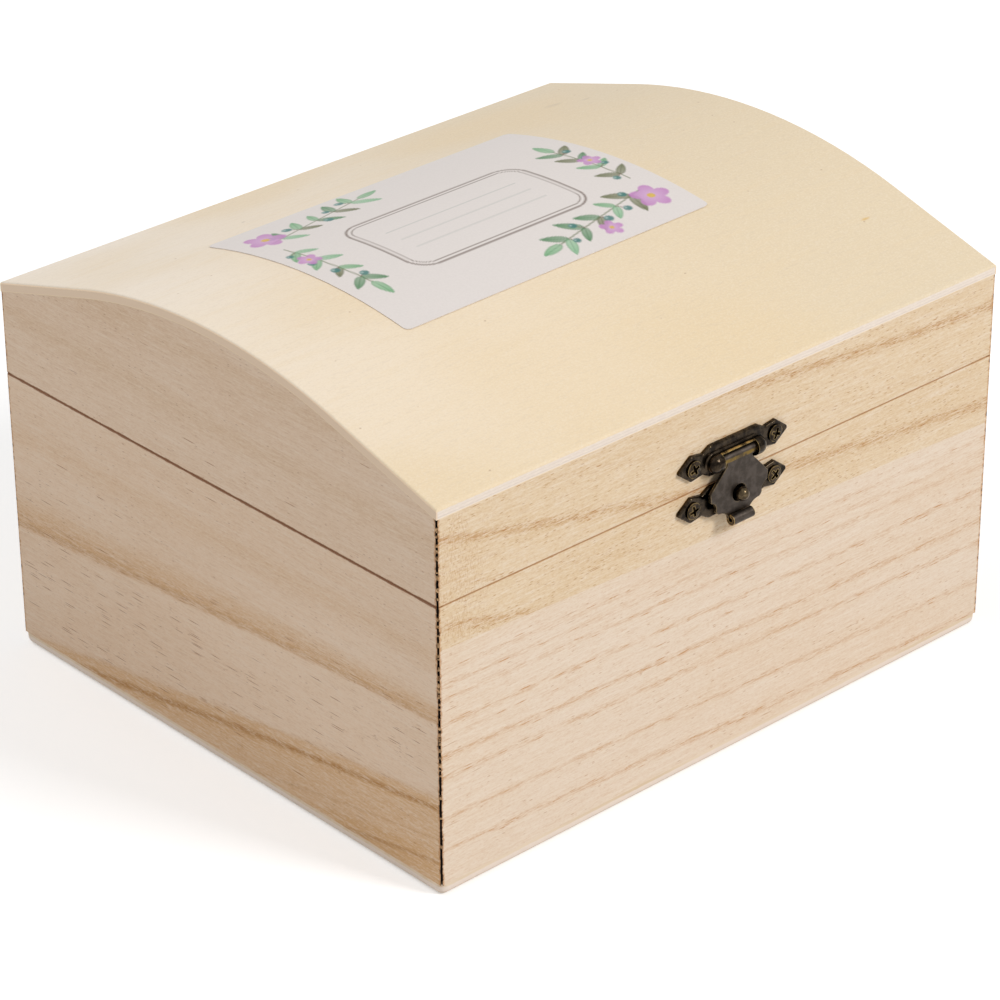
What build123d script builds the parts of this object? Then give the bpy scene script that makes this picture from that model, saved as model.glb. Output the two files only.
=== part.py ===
from build123d import *
from math import cos, radians, sin, sqrt, tan
import os

os.makedirs("parts", exist_ok=True)

# Every length is in millimetres. X runs along the front, the front faces -Y and +Z is up.
# The origin is on the surface that the box stands on, under its middle.

# Box
box_length = 150.0
box_width = 130.0
wall_thickness = 6.0
bottom_thickness = 2.5
base_wall_height = 60.0
arris_round = 0.25
bottom_edge_round = 1.4
bottom_corner_round = 1.6
largest_round_share = 0.8

# The mitres stand a little open at the outer corners
mitre_gap_width = 0.4
mitre_gap_depth = 1.0

# The front of the base is two boards, glued on a line that runs down to the right
upper_board_left_depth = 9.1
upper_board_right_depth = 15.2

# Lid: its arch is a round crown between two straight flanks
lid_rail_height = 18.0
top_thickness = 2.0
top_edge_round = 0.5
flank_angle = 16.3
crown_share = 0.57

# Paper label, glued on the lid
label_length = 81.5
label_width = 58.5
label_thickness = 0.15
label_glue_thickness = 0.03
label_corner_round = 1.2
label_shift_along = -5.5
label_shift_across = 5.5
label_turn_angle = 0.9

# Latch plates: pressed metal with two pointed ears
latch_sheet = 0.6
latch_plate_thickness = 0.9
latch_plate_length = 30.0
latch_plate_height = 6.6
latch_corner_round = 0.6
latch_edge_round = 0.42
latch_screw_edge = 4.0
upper_plate_rise = 5.4
lower_plate_drop = 3.5
# A quarter of the outline, from an ear's tip to the shoulder, as shares of half the length and height
ear_outline_shares = [(1.0, 0.0), (0.76, 0.83), (0.56, 0.67), (0.43, 1.0)]

# Hump of the upper plate, with the slot that the hasp comes out of
hump_screw_distance = 3.4
hump_drop = 0.5
hump_foot_round = 0.35
hump_slot_clearance = 0.25
hump_slot_edge = 0.2

# Hasp: it swings on a roll that lies in the hump
hasp_roll_radius = 1.2
hasp_roll_clearance = 0.1
hasp_roll_end_clearance = 0.3
hasp_roll_overhang = 2.0
hasp_width = 15.6
hasp_neck_drop = 1.0
hasp_tail_length = 4.9
hasp_hole_radius = 1.8
hasp_corner_round = 0.2
hasp_edge_round = 0.12
hasp_tab_width = 5.6
hasp_curl_radius = 1.1
hasp_curl_angle = 285.0
hasp_scallop_depth = 0.35
# Half of the hasp's outline below its neck, as shares of half the width and of the length
hasp_shoulder_shares = [(1.0, 0.45), (0.98, 0.6)]
hasp_scallop_shares = [(0.79, 0.72), (0.7, 0.84), (0.38, 0.94)]

# Peg that the hasp's hole drops over
peg_rise = 0.6
peg_stem_radius = 1.1
peg_head_radius = 1.45
peg_head_lift = 3.2
peg_tail_radius = 0.8
peg_tail_clearance = 0.02

# Back hinges
hinge_inset = 30.0
leaf_length = 16.0
leaf_height = 7.6
leaf_sheet = 0.6
leaf_corner_round = 1.2
leaf_screw_edge = 3.2
knuckle_radius = 1.25
knuckle_wall_gap = 0.2
knuckle_side_gap = 0.1
leaf_swing_gap = 0.25
hinge_pin_radius = 0.6
hinge_pin_clearance = 0.05
hinge_pin_head_radius = 0.9
hinge_pin_head_height = 0.3

# Cross-head wood screws, the same for latch and hinges
screw_head_radius = 1.75
screw_head_rim = 0.15
screw_head_dome = 0.2
screw_head_proud = 0.2
screw_core_radius = 0.65
screw_thread_radius = 0.85
screw_thread_pitch = 0.7
screw_point_length = 1.3
screw_wood_cover = 1.2
screw_seat_clearance = 0.05
screw_seat_angle = 90.0
pilot_radius = 0.75
recess_length = 2.3
recess_width = 0.6
recess_depth = 0.6
upper_screw_angles = [24.0, 68.0]
lower_screw_angles = [12.0, 40.0]
leaf_screw_angles = [35.0, 75.0]

# How far a cutting shape runs past what it cuts
cut_overrun = 1.0

# Places and sizes that follow from those above
half_length = box_length / 2
half_width = box_width / 2
split_height = bottom_thickness + base_wall_height
rail_top_height = split_height + lid_rail_height
slope = radians(flank_angle)
crown_edge = crown_share * half_width
crown_edge_height = rail_top_height + (half_width - crown_edge) * tan(slope)
crown_height = crown_edge_height + crown_edge * tan(slope / 2)
blank_top_height = crown_height + cut_overrun
upper_plate_height = split_height + upper_plate_rise
lower_plate_height = split_height - lower_plate_drop
latch_screw_spacing = latch_plate_length - 2 * latch_screw_edge
hasp_axis_height = upper_plate_height - hump_drop
hasp_axis_lift = hasp_roll_radius + hasp_roll_clearance
hasp_back_lift = hasp_axis_lift + hasp_roll_radius - latch_sheet
hump_inner_radius = hasp_roll_radius + hasp_roll_clearance
hump_outer_radius = hump_inner_radius + latch_sheet
hump_straight_length = latch_screw_spacing - 2 * (hump_screw_distance + hump_outer_radius)
hasp_roll_length = hump_straight_length - 2 * hasp_roll_end_clearance
hasp_neck_width = hasp_roll_length - 2 * hasp_roll_overhang
peg_height = lower_plate_height + peg_rise
hasp_hole_drop = hasp_axis_height - peg_height
hasp_length = hasp_hole_drop + hasp_tail_length
hasp_shoulder_drop = hasp_shoulder_shares[0][1] * hasp_length
# The slot is as wide as the hasp where its widening neck passes under the hump
hasp_widening = (hasp_width - hasp_neck_width) / (hasp_shoulder_drop - hasp_neck_drop)
hump_slot_width = hasp_neck_width + hasp_widening * (hump_outer_radius - hasp_neck_drop) + 2 * hump_slot_clearance
knuckle_lift = knuckle_wall_gap + knuckle_radius
knuckle_bore_radius = hinge_pin_radius + hinge_pin_clearance
knuckle_length = (leaf_length - 2 * knuckle_side_gap) / 3
leaf_foot = knuckle_radius + leaf_swing_gap
leaf_screw_height = (leaf_foot + leaf_height) / 2
leaf_screw_spacing = leaf_length - 2 * leaf_screw_edge


def save(piece, name):
    """Label a finished piece and write its file."""
    piece.label = name
    export_step(piece, f"parts/{name}.step")


def face_plane(side, height, along=0):
    """Plane on the front or back face of the box, with its Z pointing out and its Y up."""
    outwards = -1 if side == "front" else 1
    origin = (along, outwards * half_width, height)
    return Plane(origin=origin, x_dir=(-outwards, 0, 0), z_dir=(0, outwards, 0))


def shifted(plane, along=0, up=0, lift=0):
    """Place on a plane, a distance along it, up it and out of it."""
    return plane.location * Location((along, up, lift))


# Screws and their holes


def screw_places(plane, spacing, angles):
    """Places on the wood of two screws in a row about a plane's origin, each turned its own way."""
    ends = zip((-spacing / 2, spacing / 2), angles)
    return [shifted(plane, along) * Location((0, 0, 0), (0, 0, angle)) for along, angle in ends]


def seat_radius(sheet, lift):
    """Radius of a screw's seat at a lift above the wood, where the sheet that it holds is this thick."""
    below_head = sheet + screw_head_proud - lift
    return screw_head_radius + screw_seat_clearance - below_head * tan(radians(screw_seat_angle / 2))


def cut_plate_holes(places, sheet):
    """Cut countersunk holes right through the sheet of the open piece."""
    hole_radius = screw_thread_radius + screw_seat_clearance
    with Locations(*[place * Location((0, 0, sheet)) for place in places]):
        CounterSinkHole(hole_radius, seat_radius(sheet, sheet), sheet + cut_overrun, screw_seat_angle)


def cut_pilot_holes(places, sheet):
    """Cut blind pilot holes in the open wall, with a mouth that clears the underside of each head."""
    pilot_depth = wall_thickness - screw_wood_cover
    with Locations(*places):
        CounterSinkHole(pilot_radius, seat_radius(sheet, 0), pilot_depth, screw_seat_angle)


def wood_screw(sheet):
    """Cross-head screw that holds a sheet, its origin level with the face of the wood."""
    point = screw_wood_cover - wall_thickness
    thread_foot = point + screw_point_length
    head_foot = sheet + screw_head_proud
    cone_foot = head_foot - (screw_head_radius - screw_core_radius) / tan(radians(screw_seat_angle / 2))
    rim_top = head_foot + screw_head_rim
    crown_top = rim_top + screw_head_dome
    ridge_count = max(1, round((cone_foot - thread_foot) / screw_thread_pitch))
    ridge_step = (cone_foot - thread_foot) / ridge_count
    outline = [(0, point), (screw_core_radius, thread_foot)]
    for ridge in range(ridge_count):
        foot = thread_foot + ridge * ridge_step
        outline.append((screw_thread_radius, foot + ridge_step / 2))
        outline.append((screw_core_radius, foot + ridge_step))
    outline += [(screw_head_radius, head_foot), (screw_head_radius, rim_top)]
    dome_radius = (screw_head_radius**2 + screw_head_dome**2) / (2 * screw_head_dome)
    with BuildPart() as screw:
        with BuildSketch(Plane.XZ):
            with BuildLine():
                Polyline(*outline)
                RadiusArc((screw_head_radius, rim_top), (0, crown_top), -dome_radius)
                Line((0, crown_top), (0, point))
            make_face()
        revolve(axis=Axis.Z)
        with BuildSketch(Plane.XY.offset(crown_top)):
            Rectangle(recess_length, recess_width)
            Rectangle(recess_width, recess_length)
        extrude(amount=-recess_depth, mode=Mode.SUBTRACT)
    return screw.part


upper_plate_plane = face_plane("front", upper_plate_height)
lower_plate_plane = face_plane("front", lower_plate_height)
upper_screw_places = screw_places(upper_plate_plane, latch_screw_spacing, upper_screw_angles)
lower_screw_places = screw_places(lower_plate_plane, latch_screw_spacing, lower_screw_angles)


def hinge_plane(hinge):
    """Plane on the back face in the middle of a hinge: -1 for the left one, 1 for the right one."""
    return face_plane("back", split_height, hinge * (half_length - hinge_inset))


def leaf_screw_places(hinge, leaf):
    """Places of the screws of a hinge's leaf: -1 for the base's, 1 for the lid's."""
    row = Plane(shifted(hinge_plane(hinge), up=leaf * leaf_screw_height))
    return screw_places(row, leaf_screw_spacing, leaf_screw_angles)


# Wooden walls of the base

wall_turns = {"front": 0, "right": 90, "back": 180, "left": 270}


def raise_wall(side, low, high):
    """Add one wall between two heights, its mitred ends standing a little open at the outside."""
    along, away = (half_length, half_width) if side in ("front", "back") else (half_width, half_length)
    slot = mitre_gap_width / sqrt(2)
    with BuildSketch(Plane.XY.offset(low).rotated((0, 0, wall_turns[side]))) as plan:
        with BuildLine():
            Polyline(
                (0, -away),
                (along - slot, -away),
                (along - slot - mitre_gap_depth, mitre_gap_depth - away),
                (along - slot / 2 - mitre_gap_depth, mitre_gap_depth + slot / 2 - away),
                (along - wall_thickness, wall_thickness - away),
                (0, wall_thickness - away),
            )
            mirror(about=Plane.YZ)
        make_face()
    extrude(plan.sketch, amount=high - low)
    arris = edges().filter_by_position(Axis.Z, split_height, split_height).sort_by(SortBy.LENGTH)[-1]
    fillet(arris, min(arris_round, mitre_gap_depth * largest_round_share))


def glue_plane():
    """Plane of the glue line between the two front boards, its Z pointing up."""
    left = Vector(-half_length, 0, split_height - upper_board_left_depth)
    right = Vector(half_length, 0, split_height - upper_board_right_depth)
    along = right - left
    return Plane(origin=left, x_dir=along, z_dir=along.cross(Vector(0, 1, 0)))


with BuildPart() as base_bottom_panel:
    with BuildSketch():
        RectangleRounded(box_length, box_width, bottom_corner_round)
    extrude(amount=bottom_thickness)
    underside = base_bottom_panel.faces().sort_by(Axis.Z)[0]
    fillet(underside.edges(), min(bottom_edge_round, bottom_thickness * largest_round_share))
save(base_bottom_panel.part, "base_bottom_panel")

with BuildPart() as base_front_upper_board:
    raise_wall("front", bottom_thickness, split_height)
    split(bisect_by=glue_plane(), keep=Keep.TOP)
    cut_pilot_holes(lower_screw_places, latch_plate_thickness)
save(base_front_upper_board.part, "base_front_upper_board")

with BuildPart() as base_front_lower_board:
    raise_wall("front", bottom_thickness, split_height)
    split(bisect_by=glue_plane(), keep=Keep.BOTTOM)
save(base_front_lower_board.part, "base_front_lower_board")

for side in ("left", "right"):
    with BuildPart() as base_end_wall:
        raise_wall(side, bottom_thickness, split_height)
    save(base_end_wall.part, f"base_{side}_wall")

with BuildPart() as base_back_wall:
    raise_wall("back", bottom_thickness, split_height)
    for hinge in (-1, 1):
        cut_pilot_holes(leaf_screw_places(hinge, -1), leaf_sheet)
save(base_back_wall.part, "base_back_wall")


# Lid


def arch_line(lift, reach):
    """Add the line of the arch, raised square to itself, and return its two ends."""
    edge_y = crown_edge + lift * sin(slope)
    edge_z = crown_edge_height + lift * cos(slope)
    foot_z = edge_z - (reach - edge_y) * tan(slope)
    front = Line((-reach, foot_z), (-edge_y, edge_z))
    ThreePointArc((-edge_y, edge_z), (0, crown_height + lift), (edge_y, edge_z))
    back = Line((edge_y, edge_z), (reach, foot_z))
    return front @ 0, back @ 1


def arch_sheet(low_lift, high_lift, reach):
    """Section of a sheet that follows the arch between two lifts."""
    with BuildSketch(Plane.YZ) as sheet:
        with BuildLine():
            low_ends = arch_line(low_lift, reach)
            high_ends = arch_line(high_lift, reach)
            Line(low_ends[0], high_ends[0])
            Line(low_ends[1], high_ends[1])
        make_face()
    return sheet.sketch


def raise_lid_wall(side):
    """Add one wall of the lid, planed to the arch."""
    raise_wall(side, split_height, blank_top_height)
    waste = arch_sheet(0, blank_top_height - rail_top_height, half_width + cut_overrun)
    extrude(waste, amount=half_length + cut_overrun, both=True, mode=Mode.SUBTRACT)


with BuildPart() as lid_front_rail:
    raise_lid_wall("front")
    cut_pilot_holes(upper_screw_places, latch_plate_thickness)
save(lid_front_rail.part, "lid_front_rail")

with BuildPart() as lid_back_rail:
    raise_lid_wall("back")
    for hinge in (-1, 1):
        cut_pilot_holes(leaf_screw_places(hinge, 1), leaf_sheet)
save(lid_back_rail.part, "lid_back_rail")

for side in ("left", "right"):
    with BuildPart() as lid_end:
        raise_lid_wall(side)
    save(lid_end.part, f"lid_{side}_end")

with BuildPart() as lid_top_panel:
    extrude(arch_sheet(0, top_thickness, half_width), amount=half_length, both=True)
    crown_edges = lid_top_panel.edges().filter_by(GeomType.CIRCLE).group_by(SortBy.RADIUS)[-1]
    long_edges = lid_top_panel.edges().filter_by(Axis.X)
    front_eave = long_edges.filter_by_position(Axis.Y, -half_width, -half_width).sort_by(Axis.Z)[-1]
    back_eave = long_edges.filter_by_position(Axis.Y, half_width, half_width).sort_by(Axis.Z)[-1]
    fillet([*crown_edges, front_eave, back_eave], min(top_edge_round, top_thickness * largest_round_share))
save(lid_top_panel.part, "lid_top_panel")

with BuildPart() as paper_label:
    label_lift = top_thickness + label_glue_thickness
    extrude(arch_sheet(label_lift, label_lift + label_thickness, half_width), amount=half_length, both=True)
    with BuildSketch(Plane.XY.offset(split_height)):
        with Locations((label_shift_along, label_shift_across)):
            RectangleRounded(label_length, label_width, label_corner_round, rotation=label_turn_angle)
    extrude(amount=blank_top_height - split_height + label_lift, mode=Mode.INTERSECT)
save(paper_label.part, "paper_label")


# Latch


def ear_plate(plane):
    """Add a flat latch plate on a plane through its middle, its outer edges eased."""
    reach, rise = latch_plate_length / 2, latch_plate_height / 2
    quarter = [(along * reach, up * rise) for along, up in ear_outline_shares]
    upper_half = [(-x, y) for x, y in quarter] + [(x, y) for x, y in reversed(quarter)]
    lower_half = [(x, -y) for x, y in reversed(upper_half[1:-1])]
    with BuildSketch(plane) as outline:
        with BuildLine():
            Polyline(*upper_half, *lower_half, close=True)
        make_face()
        fillet(outline.vertices(), latch_corner_round)
    extrude(outline.sketch, amount=latch_plate_thickness)
    outer_face = faces().sort_by(Axis.Y)[0]
    round_limit = min(latch_corner_round, latch_plate_thickness) * largest_round_share
    fillet(outer_face.edges(), min(latch_edge_round, round_limit))


def hump(radius, mode):
    """Add or cut a round-topped tunnel with domed ends over the hasp's axis, standing on the wall."""
    foot_plane = face_plane("front", hasp_axis_height)
    with BuildSketch(foot_plane) as foot:
        SlotCenterToCenter(hump_straight_length, 2 * radius)
    extrude(foot.sketch, amount=hasp_axis_lift, mode=mode)
    with Locations(shifted(foot_plane, lift=hasp_axis_lift)):
        Cylinder(radius, hump_straight_length, rotation=(0, 90, 0), mode=mode)
    ends = (-hump_straight_length / 2, hump_straight_length / 2)
    with Locations(*[shifted(foot_plane, end, lift=hasp_axis_lift) for end in ends]):
        Sphere(radius, mode=mode)


with BuildPart() as latch_upper_plate:
    ear_plate(upper_plate_plane)
    plate_face = -half_width - latch_plate_thickness
    hump_reach = hump_straight_length / 2 + hump_outer_radius
    hump(hump_outer_radius, Mode.ADD)
    hump_foot = edges().filter_by_position(Axis.Y, plate_face, plate_face).filter_by_position(
        Axis.Z, hasp_axis_height - hump_outer_radius, hasp_axis_height + hump_outer_radius
    ).filter_by_position(Axis.X, -hump_reach, hump_reach)
    fillet(hump_foot, min(hump_foot_round, latch_sheet * largest_round_share))
    hump(hump_inner_radius, Mode.SUBTRACT)
    split(bisect_by=upper_plate_plane, keep=Keep.TOP)
    with BuildSketch(face_plane("front", hasp_axis_height).offset(latch_plate_thickness)):
        with Locations((0, hump_outer_radius - hump_slot_edge)):
            Rectangle(hump_slot_width, 2 * hump_outer_radius, align=(Align.CENTER, Align.MAX))
    extrude(amount=hasp_axis_lift + hump_outer_radius, mode=Mode.SUBTRACT)
    cut_plate_holes(upper_screw_places, latch_plate_thickness)
save(latch_upper_plate.part, "latch_upper_plate")

with BuildPart() as latch_hasp:
    hasp_plane = face_plane("front", hasp_axis_height)
    half_neck = hasp_neck_width / 2
    half_tab = hasp_tab_width / 2
    shoulder = [(along * hasp_width / 2, -down * hasp_length) for along, down in hasp_shoulder_shares]
    scallops = [(along * hasp_width / 2, -down * hasp_length) for along, down in hasp_scallop_shares]
    edge_points = [shoulder[-1], *scallops]
    with BuildSketch(hasp_plane.offset(hasp_back_lift)) as hasp_outline:
        with BuildLine():
            Polyline((0, 0), (half_neck, 0), (half_neck, -hasp_neck_drop), *shoulder)
            for start, end, side in zip(edge_points, scallops, (-1, 1, -1)):
                SagittaArc(start, end, side * hasp_scallop_depth)
            Polyline(scallops[-1], (half_tab, -hasp_length), (0, -hasp_length))
            mirror(about=Plane.YZ)
        make_face()
        fillet(hasp_outline.vertices(), hasp_corner_round)
        with Locations((0, -hasp_hole_drop)):
            Circle(hasp_hole_radius, mode=Mode.SUBTRACT)
    extrude(amount=latch_sheet)
    outer_face = faces().sort_by(Axis.Y)[0]
    round_limit = min(hasp_corner_round, latch_sheet) * largest_round_share
    fillet(outer_face.edges(), min(hasp_edge_round, round_limit))
    with Locations(shifted(hasp_plane, lift=hasp_axis_lift)):
        Cylinder(hasp_roll_radius, hasp_roll_length, rotation=(0, 90, 0))
        roll_bore_length = hasp_roll_length + cut_overrun
        Cylinder(hasp_roll_radius - latch_sheet, roll_bore_length, rotation=(0, 90, 0), mode=Mode.SUBTRACT)
    curl_centre = (hasp_back_lift + hasp_curl_radius, -hasp_length)
    with BuildSketch(Plane(origin=hasp_plane.origin, x_dir=hasp_plane.z_dir, z_dir=-hasp_plane.x_dir)):
        with BuildLine():
            outer = CenterArc(curl_centre, hasp_curl_radius, 180, hasp_curl_angle)
            inner = CenterArc(curl_centre, hasp_curl_radius - latch_sheet, 180, hasp_curl_angle)
            Line(outer @ 0, inner @ 0)
            Line(outer @ 1, inner @ 1)
        make_face()
    extrude(amount=half_tab, both=True)
save(latch_hasp.part, "latch_hasp")

with BuildPart() as latch_lower_plate:
    ear_plate(lower_plate_plane)
    cut_plate_holes(lower_screw_places, latch_plate_thickness)
    with Locations(shifted(lower_plate_plane, up=peg_rise, lift=latch_plate_thickness)):
        Hole(peg_tail_radius + peg_tail_clearance, latch_plate_thickness + cut_overrun)
save(latch_lower_plate.part, "latch_lower_plate")

with BuildPart(face_plane("front", peg_height)) as latch_peg:
    Cylinder(peg_tail_radius, peg_head_lift, align=(Align.CENTER, Align.CENTER, Align.MIN))
    with Locations((0, 0, latch_plate_thickness)):
        stem_length = peg_head_lift - latch_plate_thickness
        Cylinder(peg_stem_radius, stem_length, align=(Align.CENTER, Align.CENTER, Align.MIN))
    with Locations((0, 0, peg_head_lift)):
        Sphere(peg_head_radius)
save(latch_peg.part, "latch_peg")

with BuildPart() as latch_upper_screws:
    with Locations(*upper_screw_places):
        add(wood_screw(latch_plate_thickness))
save(latch_upper_screws.part, "latch_upper_screws")

with BuildPart() as latch_lower_screws:
    with Locations(*lower_screw_places):
        add(wood_screw(latch_plate_thickness))
save(latch_lower_screws.part, "latch_lower_screws")


# Back hinges


def hinge_leaf(hinge, leaf):
    """Add a leaf with its knuckles: the lid's has the middle one, the base's the two outer ones."""
    plane = hinge_plane(hinge)
    step = knuckle_length + knuckle_side_gap
    knuckles = [0] if leaf > 0 else [-step, step]
    web_height = leaf_foot + leaf_sheet
    with BuildSketch(plane) as slab:
        with Locations((0, leaf * leaf_foot)):
            slab_align = (Align.CENTER, Align.MIN if leaf > 0 else Align.MAX)
            Rectangle(leaf_length, leaf_height - leaf_foot, align=slab_align)
        free_corners = slab.vertices().group_by(Axis.Z)[-1 if leaf > 0 else 0]
        fillet(free_corners, leaf_corner_round)
    extrude(slab.sketch, amount=leaf_sheet)
    with BuildSketch(plane.offset(knuckle_wall_gap)) as webs:
        with Locations(*[(knuckle, leaf * web_height / 2) for knuckle in knuckles]):
            Rectangle(knuckle_length, web_height)
    extrude(webs.sketch, amount=leaf_sheet)
    with Locations(*[shifted(plane, knuckle, lift=knuckle_lift) for knuckle in knuckles]):
        Cylinder(knuckle_radius, knuckle_length, rotation=(0, 90, 0))
    with Locations(shifted(plane, lift=knuckle_lift)):
        Cylinder(knuckle_bore_radius, leaf_length + cut_overrun, rotation=(0, 90, 0), mode=Mode.SUBTRACT)
    cut_plate_holes(leaf_screw_places(hinge, leaf), leaf_sheet)


for hinge, hinge_name in ((-1, "hinge_left"), (1, "hinge_right")):
    for leaf, leaf_name in ((-1, "base"), (1, "lid")):
        with BuildPart() as leaf_piece:
            hinge_leaf(hinge, leaf)
        save(leaf_piece.part, f"{hinge_name}_{leaf_name}_leaf")

        with BuildPart() as leaf_screws:
            with Locations(*leaf_screw_places(hinge, leaf)):
                add(wood_screw(leaf_sheet))
        save(leaf_screws.part, f"{hinge_name}_{leaf_name}_screws")

    with BuildPart() as hinge_pin:
        with Locations(shifted(hinge_plane(hinge), lift=knuckle_lift)):
            Cylinder(hinge_pin_radius, leaf_length + 2 * hinge_pin_clearance, rotation=(0, 90, 0))
        reach = (leaf_length + hinge_pin_head_height) / 2 + hinge_pin_clearance
        with Locations(*[shifted(hinge_plane(hinge), end, lift=knuckle_lift) for end in (-reach, reach)]):
            Cylinder(hinge_pin_head_radius, hinge_pin_head_height, rotation=(0, 90, 0))
    save(hinge_pin.part, f"{hinge_name}_pin")
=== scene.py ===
import logging
import random
from dataclasses import dataclass, field
from enum import Enum
from math import cos, radians, sin

import bpy
import numpy as np
from mathutils import Matrix, Vector


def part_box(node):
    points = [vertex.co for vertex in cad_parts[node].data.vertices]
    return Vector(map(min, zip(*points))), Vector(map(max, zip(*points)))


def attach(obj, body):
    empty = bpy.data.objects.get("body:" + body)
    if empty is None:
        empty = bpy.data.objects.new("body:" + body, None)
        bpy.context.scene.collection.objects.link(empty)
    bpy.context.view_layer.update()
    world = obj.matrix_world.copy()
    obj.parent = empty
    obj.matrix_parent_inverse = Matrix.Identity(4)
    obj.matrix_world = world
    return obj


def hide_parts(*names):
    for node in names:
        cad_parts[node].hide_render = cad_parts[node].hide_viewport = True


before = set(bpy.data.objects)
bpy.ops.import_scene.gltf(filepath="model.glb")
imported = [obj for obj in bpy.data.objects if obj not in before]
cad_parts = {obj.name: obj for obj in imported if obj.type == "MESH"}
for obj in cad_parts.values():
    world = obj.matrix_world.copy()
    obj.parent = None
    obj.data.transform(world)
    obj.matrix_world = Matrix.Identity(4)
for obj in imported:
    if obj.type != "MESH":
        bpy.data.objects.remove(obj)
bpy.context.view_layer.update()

MM = 0.001

Colour = tuple[float, float, float]
Lengths = tuple[float, float, float]
Point = tuple[float, float]
Stops = tuple[Point, ...]
Material = bpy.types.Material
Piece = bpy.types.Object
Socket = bpy.types.NodeSocket
Feed = float | tuple[float, ...] | Socket
Coat = tuple[Socket, float, float, float, Colour]

log = logging.getLogger("chest")


def paint(red: int, green: int, blue: int) -> Colour:
    """Turn a colour as it is seen on a screen into linear light.

    Args:
        red: Red part, 0 to 255.
        green: Green part, 0 to 255.
        blue: Blue part, 0 to 255.

    Returns:
        The three parts as linear light, 0 to 1.
    """
    shares = [part / 255 for part in (red, green, blue)]
    linear = [s / 12.92 if s <= 0.04045 else ((s + 0.055) / 1.055) ** 2.4 for s in shares]
    return linear[0], linear[1], linear[2]


class Grain(Enum):
    """Which way a board's fibres run."""

    ALONG_X = "x"
    ALONG_Y = "y"


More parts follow.
